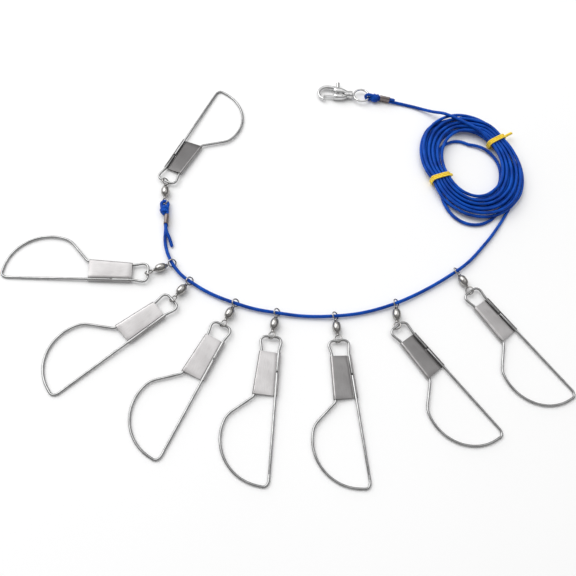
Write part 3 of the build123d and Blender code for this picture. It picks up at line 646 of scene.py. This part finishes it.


# Cord blues, from lighter on the strands' crowns to painted shade in the braid's grooves
cord_blue = braided_cord("cord_blue", (0.006, 0.12, 0.6), (0.003, 0.058, 0.39), (0.001, 0.013, 0.13))
wire_steel = polished_metal("wire_steel", (0.4, 0.4, 0.4), (0.28, 0.28, 0.28), 0.1, 0.16, 900.0)
swivel_nickel = polished_metal("swivel_nickel", (0.42, 0.41, 0.4), (0.3, 0.29, 0.28), 0.06, 0.12, 900.0)
chrome = polished_metal("chrome", (0.72, 0.72, 0.72), (0.5, 0.5, 0.5), 0.04, 0.08, 900.0)
ferrule_metal = polished_metal("ferrule_metal", (0.27, 0.23, 0.22), (0.12, 0.1, 0.1), 0.3, 0.5, 1500.0)
tie_yellow = coated_tie("tie_yellow", (1.0, 0.78, 0.07), (0.85, 0.55, 0.03))


# Cord: the route's points are the control points of one smooth spline


def tie_share(angle):
    """How far round from one tie to the next an angle lies, from 0 to 1, and the two ties' pulls."""
    first, second = TIES
    gap = second[0] - first[0]
    turned = (angle - first[0]) % 360
    if turned < gap:
        return turned / gap, first[1], second[1]
    return (turned - gap) / (360 - gap), second[1], first[1]


def smooth(share):
    """Ease from 0 to 1."""
    share = min(max(share, 0), 1)
    return share * share * (3 - 2 * share)


def coil_slot(number):
    """Column and row of a turn in the bundle: in, out and in again, one row above the other."""
    row, place = divmod(number, COIL_ROW)
    half = (COIL_ROW - 1) / 2
    if row == 1:
        return place - half + 0.5, row
    return half - place, row


def coil_place(turn):
    """Column and row at any turn: one slot on with each turn, the upper rows first."""
    number = int(turn)
    column, row = coil_slot(number)
    if number == int(COIL_END_TURN):
        return column, row
    next_column, next_row = coil_slot(number + 1)
    stage = 2 * (COIL_ROWS - 1 - row) - (1 if next_row > row else 0)
    share = smooth((turn - number - SHIFT_FROM) / SHIFT_STEP - stage)
    return column + (next_column - column) * share, row + (next_row - row) * share


def bulge(turn, first, last, reach):
    """Loose turn that strays from the bundle between two turns."""
    share = (turn - first) / (last - first)
    if 0 < share < 1:
        return reach * sin(pi * share) ** 2
    return 0


def coil_point(turn):
    """Centre of the cord after so many turns, drawn in at the ties and fanned out between them."""
    angle = COIL_START_ANGLE + 360 * turn
    share, pull, next_pull = tie_share(angle)
    loose = sin(pi * share) ** FAN_SHAPE
    pitch = TIED_PITCH + (LOOSE_PITCH - TIED_PITCH) * loose
    column, row = coil_place(turn)
    wander = WANDER * (pitch - TIED_PITCH) * sin(WANDER_STEP * int(turn) + radians(2 * angle))
    outward = column * pitch + wander - (pull + (next_pull - pull) * share) * (1 - loose)
    outward += sum(bulge(turn, *stray) for stray in STRAYS)
    level = COIL_FLOOR_Z + row * COIL_ROW_RISE + TIE_LIFT * (1 - loose)
    across = Vector((COIL_HALF_LENGTH * cos(radians(angle)), COIL_HALF_WIDTH * sin(radians(angle)), 0))
    middle = Vector((COIL_HALF_WIDTH * cos(radians(angle)), COIL_HALF_LENGTH * sin(radians(angle)), level))
    return COIL_CENTRE + middle + across.normalized() * outward


def cord_route():
    """Control points from the end ferrule along the line, round the coil and out to the clasp's ferrule."""
    count = round(COIL_END_TURN * COIL_POINTS_A_TURN)
    coil = [coil_point(COIL_END_TURN * i / count) for i in range(count + 1)]
    way_in = (coil[1] - coil[0]).normalized()
    into_coil = [coil[0] - way_in * COIL_LEAD_IN]
    line = [Vector(point) - ORIGIN for point in LINE_ROUTE]
    lead = [Vector(point) - ORIGIN for point in LEAD_ROUTE]
    return line + into_coil + coil + lead


def spline_points(route):
    """Points along the smooth spline that has the route's points as control points."""
    curve = bpy.data.curves.new("cord_route", "CURVE")
    curve.dimensions = "3D"
    curve.resolution_u = 5
    spline = curve.splines.new("NURBS")
    spline.points.add(len(route) - 1)
    for point, place in zip(spline.points, route):
        point.co = (*place, 1)
    spline.order_u = 3
    spline.use_endpoint_u = True
    holder = bpy.data.objects.new("cord_route", curve)
    bpy.context.scene.collection.objects.link(holder)
    mesh = bpy.data.meshes.new_from_object(holder)
    points = [vertex.co.copy() for vertex in mesh.vertices]
    bpy.data.objects.remove(holder)
    return points


route = cord_route()
cord_path = spline_points(route)
cord = make_piece(
    "cord",
    [tube(cord_path, CORD_RADIUS, CORD_SIDES)],
    cord_blue,
    "cord",
    ("cord_line", "cord_coil", "cord_lead"),
)

# Knots: a loop through what the knot holds, turns round two strands, and the tag end


def knot_shapes(loop, way, side, turn_radius, ferrule_near, ferrule_far, tag):
    """Shapes of a knot whose loop at loop opens along -way, with its strands in a ferrule."""
    middle = loop - way * KNOT_SETBACK
    middle.z = KNOT_Z
    bend = []
    for i in range(KNOT_BEND_POINTS + 1):
        a = pi * i / KNOT_BEND_POINTS
        bend.append(loop + (side * cos(a) + way * sin(a)) * turn_radius)
    foot = loop - way * KNOT_LEG
    waist = side * turn_radius * KNOT_WAIST
    upper = [foot + waist] + bend + [foot - waist]
    across = way.cross(UP).normalized()
    over = across.cross(way).normalized()
    half = KNOT_STEP * (KNOT_TURNS - 1) / 2
    count = KNOT_TURN_POINTS * KNOT_TURNS
    wraps = []
    for i in range(count + 1):
        turn = 2 * pi * i / KNOT_TURN_POINTS
        step = -half + 2 * half * i / count
        swell = 1 + KNOT_SWELL * sin(3 * turn / 2)
        wraps.append(middle + way * step + (across * cos(turn) + over * sin(turn)) * KNOT_RADIUS * swell)
    shapes = [tube(upper, CORD_RADIUS, CORD_SIDES), tube(wraps, CORD_RADIUS, CORD_SIDES)]
    core_reach = way * half * KNOT_CORE_REACH
    core = [middle - core_reach, middle, middle + core_reach]
    shapes.append(tube(core, KNOT_CORE_RADIUS, CORD_SIDES))
    strand_way = (ferrule_near - ferrule_far).normalized()
    for rise in (0, TAG_PITCH):
        lift = UP * rise
        inside = ferrule_near + strand_way * FERRULE_INSIDE + lift
        shapes.append(tube([inside, ferrule_near + lift, ferrule_far + lift], CORD_RADIUS, CORD_SIDES))
    shapes.append(tube(tag, CORD_RADIUS, CORD_SIDES))
    return shapes


def unit_vector(joint):
    """Axis of a joint as a vector."""
    return Vector(joints[joint]["axis"]).normalized()


def joint_place(joint):
    """Place of a joint as a vector."""
    return Vector(joints[joint]["pos_m"])


end_far = route[0]
end_way_out = (route[0] - route[1]).normalized()
end_near = end_far + end_way_out * FERRULE_LENGTH
swivel_way = unit_vector("barrel_spin_1")
end_eye = joint_place("barrel_spin_1") - swivel_way * EYE_SPACING / 2
end_loop = end_eye - swivel_way * EYE_RADIUS
end_tag = spline_points(
    [
        end_far + UP * TAG_PITCH,
        end_far - end_way_out * END_TAG_RUN + UP * TAG_PITCH,
        *(Vector(point) - ORIGIN for point in END_TAG),
    ]
)
end_side = UP.cross(swivel_way).normalized()
end_knot = make_piece(
    "end_knot_cord",
    knot_shapes(end_loop, swivel_way, end_side, CORD_DIA, end_near, end_far, end_tag),
    cord_blue,
    "cord",
    ("end_knot",),
)

lead_far = route[-1]
lead_way = (route[-1] - route[-2]).normalized()
lead_near = lead_far + lead_way * FERRULE_LENGTH
clasp_loop = joint_place("clasp_ring_swing")
clasp_knot_way = heading(CLASP_KNOT_ANGLE)
clasp_tag = [lead_far + UP * TAG_PITCH, lead_far + UP * TAG_PITCH - lead_way * CLASP_TAG_RUN]
clasp_knot = make_piece(
    "clasp_knot_cord",
    knot_shapes(clasp_loop, clasp_knot_way, UP, RING_TURN, lead_near, lead_far, clasp_tag),
    cord_blue,
    "cord",
    ("clasp_knot",),
)

# Twist ties: coated wire wound round all the turns, its ends twisted into a tail


def tie_shapes(angle, pull, tail, side):
    """Wraps and twisted tail of one tie."""
    turn = radians(angle)
    outward = Vector((COIL_HALF_LENGTH * cos(turn), COIL_HALF_WIDTH * sin(turn), 0)).normalized()
    along = UP.cross(outward)
    middle = COIL_CENTRE + Vector((COIL_HALF_WIDTH * cos(turn), COIL_HALF_LENGTH * sin(turn), 0))
    # The middle row lies half a column further out, so the bundle's middle lies a quarter further out
    middle += outward * (TIED_PITCH / 4 - pull) + UP * (COIL_FLOOR_Z + TIE_LIFT + COIL_ROW_RISE)
    wraps = []
    for i in range(TIE_WRAP_POINTS * TIE_WRAPS + 1):
        a = 2 * pi * i / TIE_WRAP_POINTS + (0 if side > 0 else pi)
        across, rise = squared(a, TIE_ROUNDNESS)
        shift = (i / TIE_WRAP_POINTS - TIE_WRAPS / 2) * TIE_WRAP_PITCH
        band = outward * TIE_HALF_WIDTH * across + UP * TIE_HALF_HEIGHT * rise
        wraps.append(middle + band + along * shift)
    shapes = [tube(wraps, TIE_WIRE, TIE_SIDES)]
    start = middle + outward * side * TIE_HALF_WIDTH
    for phase in (0, pi):
        twist = []
        for i in range(TAIL_POINTS):
            a = phase + 2 * pi * i / TAIL_TURN_POINTS
            reach = outward * side * tail * i / (TAIL_POINTS - 1)
            ring_way = along * cos(a) + UP * sin(a)
            twist.append(start + reach + ring_way * TIE_WIRE * TAIL_RADIUS)
        shapes.append(tube(twist, TIE_WIRE, TIE_SIDES))
    return shapes


tie_bands = make_piece(
    "tie_bands",
    [shape for tie in TIES for shape in tie_shapes(*tie)],
    tie_yellow,
    "cord",
    ("twist_ties",),
)

# Ferrules: oval sleeves with two crimp dents


def ferrule_shape(near, far):
    """Sleeve over the standing cord and its tag, pinched twice."""
    way = (far - near).normalized()
    side = way.cross(UP).normalized()
    over = side.cross(way)
    middle = near + over * TAG_PITCH / 2
    wall = CORD_RADIUS + FERRULE_WALL
    vertices, lengths = [], []
    for share, swell in FERRULE_PROFILE:
        lengths.append(share * FERRULE_LENGTH)
        for j in range(FERRULE_SIDES):
            a = 2 * pi * j / FERRULE_SIDES
            lift = TAG_PITCH / 2 * (1 if sin(a) > 0 else -1) if abs(sin(a)) > 1e-6 else 0
            ring_way = side * wall * cos(a) * swell + over * (lift + wall * sin(a))
            vertices.append(middle + way * share * FERRULE_LENGTH + ring_way)
    faces, uvs = grid_faces(len(FERRULE_PROFILE), FERRULE_SIDES, lengths, True)
    return vertices, faces, uvs


ferrules = make_piece(
    "ferrule_sleeves",
    [ferrule_shape(end_near, end_far), ferrule_shape(lead_near, lead_far)],
    ferrule_metal,
    "cord",
    ("crimp_ferrules",),
)

tuple(cord_path[0])


# Snaps: each frame comes from the joints at the end bar and at the gate


def snap_place(number):
    """Placement of a snap's own frame."""
    x_way = -unit_vector(f"snap_flap_{number}")
    # The gate's axis lies halfway between X and Z
    z_way = (unit_vector(f"gate_open_{number}") * sqrt(2) - x_way).normalized()
    y_way = z_way.cross(x_way)
    turn = Matrix((x_way, y_way, z_way)).transposed().to_4x4()
    pivot = joint_place(f"gate_open_{number}")
    return Matrix.Translation(pivot) @ turn @ Matrix.Translation(-SNAP_PIVOT)


def wire_path():
    """Centre line of the bent wire, from inside the keeper round to the far corner."""
    shoulder_way = heading(SHOULDER_HEADING)
    shoulder = LEG_BOTTOM + shoulder_way * SHOULDER_LENGTH
    loop = [
        WIRE_START,
        Vector((0, NECK, 0)),
        Vector((LOOP_FLARE, SNAP_LENGTH, 0)),
        Vector((LEG_TOP.x - LOOP_FLARE, SNAP_LENGTH, 0)),
        LEG_TOP,
        LEG_BOTTOM,
        shoulder,
    ]
    path = rounded(loop, LOOP_RADII, LOOP_STEPS)
    bow = circle_points(BOW_CENTRE, BOW_RADIUS, BOW_FROM, BOW_TO, BOW_STEPS)
    path += biarc_points(shoulder, shoulder_way, bow[0], heading(BOW_FROM + 90), SHOULDER_STEPS)
    path += bow[1:]
    bow_way = heading(BOW_TO + 90)
    corner = bow[-1] + bow_way * BOW_RUN_OUT
    path += [corner]
    path += biarc_points(corner, bow_way, CORNER_TOP, Vector((0, 1, 0)), CORNER_ARC_STEPS)
    return path + [WIRE_END]


corner_path = [WIRE_END + CORNER_STEP * i for i in range(CORNER_STEPS + 1)]
wire_shape = tube(wire_path(), WIRE_RADIUS, WIRE_SIDES)
gate_shape = tube([GATE_START, GATE_MIDDLE, GATE_END], WIRE_RADIUS, WIRE_SIDES)
corner_shape = tube(corner_path, WIRE_RADIUS, WIRE_SIDES)


def bowed_leg_x(y):
    """Centre of the bowed leg at a height in the keeper."""
    share = (LEG_TOP.y - y) / (LEG_TOP.y - LEG_BOTTOM.y)
    return LEG_TOP.x + (LEG_BOTTOM.x - LEG_TOP.x) * share


def roll_points(x, first, last):
    """Points of the sheet round a leg at x, from one angle down to another."""
    return [
        (x + KEEPER_RADIUS * cos(radians(a)), KEEPER_RADIUS * sin(radians(a)))
        for a in range(first, last - 1, -10)
    ]


def keeper_shape():
    """Folded sheet: hook over the gate, web under the legs, roll on the bowed leg and flat face."""
    vertices, lengths = [], []
    for i in range(KEEPER_ROWS + 1):
        y = KEEPER_TOP + (KEEPER_BOTTOM - KEEPER_TOP) * i / KEEPER_ROWS
        leg_x = bowed_leg_x(y)
        lengths.append(y)
        line = roll_points(0, KEEPER_HOOK_LIP, -90)
        line += [(leg_x * s / KEEPER_STRIPS, -KEEPER_RADIUS) for s in range(1, KEEPER_STRIPS)]
        line += roll_points(leg_x, 270, KEEPER_FACE_FROM)
        from_x, from_z = line[-1]
        for s in range(1, KEEPER_STRIPS + 1):
            x = from_x + (KEEPER_FACE_EDGE.x - from_x) * s / KEEPER_STRIPS
            z = from_z + (KEEPER_FACE_EDGE.z - from_z) * s / KEEPER_STRIPS
            line.append((x, z))
        vertices += [Vector((x, y, z)) for x, z in line]
    faces, uvs = grid_faces(KEEPER_ROWS + 1, len(line), lengths, False)
    return vertices, faces, uvs


def keeper_mesh(tone):
    """Keeper sheet with its thickness and slightly rounded edges, and a face painted lighter or darker as a
    painted reflection.
    """
    draft = bpy.data.meshes.new("keeper_draft")
    vertices, faces, uvs = keeper_shape()
    draft.from_pydata([tuple(v) for v in vertices], [], faces)
    layer = draft.uv_layers.new(name="UVMap")
    layer.data.foreach_set("uv", [value for face in uvs for corner in face for value in corner])
    holder = bpy.data.objects.new("keeper_draft", draft)
    bpy.context.scene.collection.objects.link(holder)
    thickness = holder.modifiers.new("sheet", "SOLIDIFY")
    thickness.thickness = KEEPER_SHEET
    thickness.offset = 0
    edges = holder.modifiers.new("edges", "BEVEL")
    edges.width = KEEPER_BEVEL
    edges.segments = 2
    graph = bpy.context.evaluated_depsgraph_get()
    mesh = bpy.data.meshes.new_from_object(holder.evaluated_get(graph))
    bpy.data.objects.remove(holder)
    mesh.polygons.foreach_set("use_smooth", [True] * len(mesh.polygons))
    mesh.materials.clear()
    # Painted reflection: the face's colours are scaled by the keeper's tone, so each keeper is a lighter or
    # darker copy of one brushed steel
    light, dark = (tuple(level * tone for level in colour) for colour in (KEEPER_LIGHT, KEEPER_DARK))
    mesh.materials.append(brushed_sheet(f"keeper_steel_painted_reflection_{round(100 * tone)}", light, dark))
    mesh.materials.append(keeper_edge)
    for face in mesh.polygons:
        on_face = bowed_leg_x(face.center.y) < face.center.x < -KEEPER_RADIUS
        face.material_index = 0 if on_face and face.normal.z > KEEPER_LEVEL else 1
    return mesh


keeper_edge = brushed_sheet("keeper_edge", KEEPER_LIGHT, KEEPER_DARK)
# One painted-reflection copy of the keeper for each tone
keepers = {tone: keeper_mesh(tone) for tone in sorted(set(KEEPER_PAINTED_REFLECTIONS))}
for number in UNITS:
    place = snap_place(number)
    make_piece(
        f"snap_wire_round_{number}",
        [wire_shape],
        wire_steel,
        f"snap_{number}",
        (f"snap_wire_{number}",),
        place,
    )
    make_piece(
        f"gate_round_{number}",
        [gate_shape],
        wire_steel,
        f"gate_{number}",
        (f"gate_{number}",),
        place,
    )
    place_piece(
        f"keeper_sheet_{number}",
        keepers[KEEPER_PAINTED_REFLECTIONS[number - 1]],
        f"snap_{number}",
        (f"keeper_{number}",),
        place,
    )
    corner = make_piece(f"snap_corner_{number}", [corner_shape], wire_steel, None, (), place)
    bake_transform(corner)

# Swivels: eyes of thin wire and a turned barrel
barrel_shape = lathe([(x * BARREL_LENGTH, r * BARREL_RADIUS) for x, r in BARREL_PROFILE], BARREL_SIDES)
stem_length = (EYE_SPACING - BARREL_LENGTH) / 2 + STEM_REACH
eye_shapes = [
    ring(Vector((0, 0, 0)), Vector((1, 0, 0)), UP, EYE_RADIUS, EYE_WIRE, EYE_SEGMENTS, EYE_SIDES),
    tube([Vector((EYE_RADIUS, 0, 0)), Vector((stem_length, 0, 0))], STEM_RADIUS, STEM_SIDES),
]
for number in UNITS:
    x_way = unit_vector(f"barrel_spin_{number}")
    y_way = UP.cross(x_way).normalized()
    turn = Matrix((x_way, y_way, x_way.cross(y_way))).transposed().to_4x4()
    middle = Matrix.Translation(joint_place(f"barrel_spin_{number}")) @ turn
    half = Matrix.Translation((-EYE_SPACING / 2, 0, 0))
    about = Matrix.Rotation(pi, 4, "Z")
    roll = Matrix.Rotation(radians(EYE_ROLL), 4, "X")
    for name, shapes, body, node, place in (
        ("barrel_turned", [barrel_shape], "barrel", "swivel_barrel", middle),
        ("line_eye_wire", eye_shapes, "line_eye", "line_eye", middle @ half @ roll),
        ("snap_eye_wire", eye_shapes, "snap_eye", "snap_eye", middle @ about @ half @ roll),
    ):
        make_piece(
            f"{name}_{number}",
            shapes,
            swivel_nickel,
            f"{body}_{number}",
            (f"{node}_{number}",),
            place,
        )

# Clasp: a smooth casting with a tapering hook, and a ring of round wire on a headed stem


def cast_shape(sections):
    """Closed casting through (x, top, bottom) sections with rounded outlines."""
    vertices, lengths = [], []
    for x, top, bottom in sections:
        lengths.append(x)
        half_height = (top - bottom) / 2
        thick = min(half_height * CLASP_FULLNESS, CLASP_HALF_THICK)
        for j in range(CLASP_SIDES):
            a = 2 * pi * j / CLASP_SIDES
            rise, out = squared(a, CLASP_ROUNDNESS)
            vertices.append(Vector((x, (top + bottom) / 2 + half_height * rise, thick * out)))
    faces, uvs = grid_faces(len(sections), CLASP_SIDES, lengths, True)
    faces.append(tuple(reversed(range(CLASP_SIDES))))
    faces.append(tuple(range(len(vertices) - CLASP_SIDES, len(vertices))))
    uvs += [((0, 0),) * CLASP_SIDES] * 2
    return vertices, faces, uvs


def hook_shape():
    """Hook of the clasp, tapering from its root to its tip."""
    hook_top = HOOK_CENTRE + Vector((0, HOOK_RADIUS, 0))
    hook = [hook_top] + arc_points(hook_top, Vector((1, 0, 0)), HOOK_ROOT, HOOK_ROOT_STEPS)
    hook.reverse()
    hook += circle_points(HOOK_CENTRE, HOOK_RADIUS, 90, HOOK_TIP, HOOK_STEPS)[1:]
    count = len(hook) - 1
    radii = []
    for i in range(count + 1):
        radii.append(HOOK_THICK - HOOK_THINNING * smooth(HOOK_TAPER_PACE * i / count))
    return tube(hook, radii, HOOK_SIDES)


clasp_x = unit_vector("clasp_spin")
clasp_z = -unit_vector("trigger_open")
clasp_turn = Matrix((clasp_x, clasp_z.cross(clasp_x), clasp_z)).transposed().to_4x4()
clasp_place = Matrix.Translation(joint_place("clasp_spin")) @ clasp_turn
clasp_shapes = [cast_shape(UPPER_RAIL), cast_shape(LOWER_RAIL), cast_shape(COLLAR), hook_shape()]
make_piece("clasp_casting", clasp_shapes, chrome, "clasp", ("clasp_body",), clasp_place)
ring_shapes = [
    ring(
        Vector((RING_CENTRE, 0, 0)),
        Vector((1, 0, 0)),
        Vector((0, 1, 0)),
        RING_RADIUS,
        RING_WIRE,
        RING_SEGMENTS,
        RING_SIDES,
    ),
    lathe(RING_STEM, RING_STEM_SIDES),
]
make_piece("clasp_ring_wire", ring_shapes, chrome, "clasp_ring", ("clasp_ring",), clasp_place)
for node, material in (("trigger_lever", chrome), ("lever_pin", chrome), ("lever_spring", wire_steel)):
    solid = frame["nodes"][node]
    solid.data.materials.clear()
    solid.data.materials.append(material)


# Stage: floor, world, lamps and camera


def make_floor():
    """Wide white floor."""
    bpy.ops.mesh.primitive_plane_add(size=FLOOR_SIZE)
    floor = bpy.context.object
    floor.name = "floor"
    material, shader, add, link = new_material("floor_white")
    place = add("ShaderNodeTexCoord")
    cloud = add("ShaderNodeTexNoise", {"Vector": place.outputs["Object"], "Scale": 3.0})
    link(colour_ramp(add, cloud.outputs["Fac"], [(0.3, FLOOR_DARK), (0.7, FLOOR_LIGHT)]), "Base Color")
    shader.inputs["Roughness"].default_value = 1.0
    shader.inputs["Specular IOR Level"].default_value = 0.0
    floor.data.materials.append(material)


def make_world():
    """Soft studio: bright behind and to the left, dim low in front, half bright overhead."""
    world = bpy.data.worlds.new("studio")
    bpy.context.scene.world = world
    world.use_nodes = True
    tree = world.node_tree
    tree.nodes.clear()
    place = tree.nodes.new("ShaderNodeTexCoord")
    lean = tree.nodes.new("ShaderNodeVectorMath")
    lean.operation = "DOT_PRODUCT"
    lean.inputs[1].default_value = WORLD_WAY
    tree.links.new(place.outputs["Generated"], lean.inputs[0])
    spread = tree.nodes.new("ShaderNodeMapRange")
    spread.inputs["From Min"].default_value = -1.0
    tree.links.new(lean.outputs["Value"], spread.inputs["Value"])
    ramp = tree.nodes.new("ShaderNodeValToRGB")
    stops = ramp.color_ramp.elements
    stops.new(0.7)
    for stop, (position, level) in zip(stops, WORLD_LEVELS):
        stop.position = position
        stop.color = (level, level, level, 1)
    tree.links.new(spread.outputs[0], ramp.inputs[0])
    split = tree.nodes.new("ShaderNodeSeparateXYZ")
    tree.links.new(place.outputs["Generated"], split.inputs[0])
    dome = tree.nodes.new("ShaderNodeMapRange")
    dome.interpolation_type = "SMOOTHSTEP"
    for socket, value in zip(("From Min", "From Max", "To Min", "To Max"), SKY_RISE):
        dome.inputs[socket].default_value = value
    tree.links.new(split.outputs["Z"], dome.inputs["Value"])
    level = tree.nodes.new("ShaderNodeMath")
    level.operation = "MAXIMUM"
    tree.links.new(ramp.outputs[0], level.inputs[0])
    tree.links.new(dome.outputs[0], level.inputs[1])
    light = tree.nodes.new("ShaderNodeBackground")
    tree.links.new(level.outputs[0], light.inputs["Color"])
    output = tree.nodes.new("ShaderNodeOutputWorld")
    tree.links.new(light.outputs[0], output.inputs["Surface"])


def make_lamp(name, place, size, power):
    """Square soft lamp that points at the middle of the object."""
    data = bpy.data.lights.new(name, "AREA")
    data.size = size
    data.energy = power
    lamp = bpy.data.objects.new(name, data)
    lamp.location = place
    lamp.rotation_euler = (-Vector(place)).to_track_quat("-Z", "Y").to_euler()
    bpy.context.scene.collection.objects.link(lamp)


def make_camera():
    """Camera at the photograph's viewing angle."""
    tilt, roll = radians(CAMERA_TILT), radians(CAMERA_ROLL)
    turn = Matrix.Rotation(radians(CAMERA_TURN), 3, "Z")
    place = turn @ Vector((0, -CAMERA_DISTANCE * sin(tilt), CAMERA_DISTANCE * cos(tilt)))
    back = turn @ Vector((0, -sin(tilt), cos(tilt)))
    level = turn @ Vector((1, 0, 0))
    away = turn @ Vector((0, cos(tilt), sin(tilt)))
    right = level * cos(roll) + away * sin(roll)
    up = away * cos(roll) - level * sin(roll)
    data = bpy.data.cameras.new("camera")
    data.lens = LENS
    data.sensor_width = SENSOR_WIDTH
    camera = bpy.data.objects.new("camera", data)
    pose = Matrix((right, up, back)).transposed().to_4x4()
    camera.matrix_world = Matrix.Translation(place - ORIGIN) @ pose
    bpy.context.scene.collection.objects.link(camera)
    bpy.context.scene.camera = camera


make_floor()
make_world()
for lamp in LAMPS:
    make_lamp(*lamp)
make_camera()
bpy.context.scene.view_settings.view_transform = "Standard"
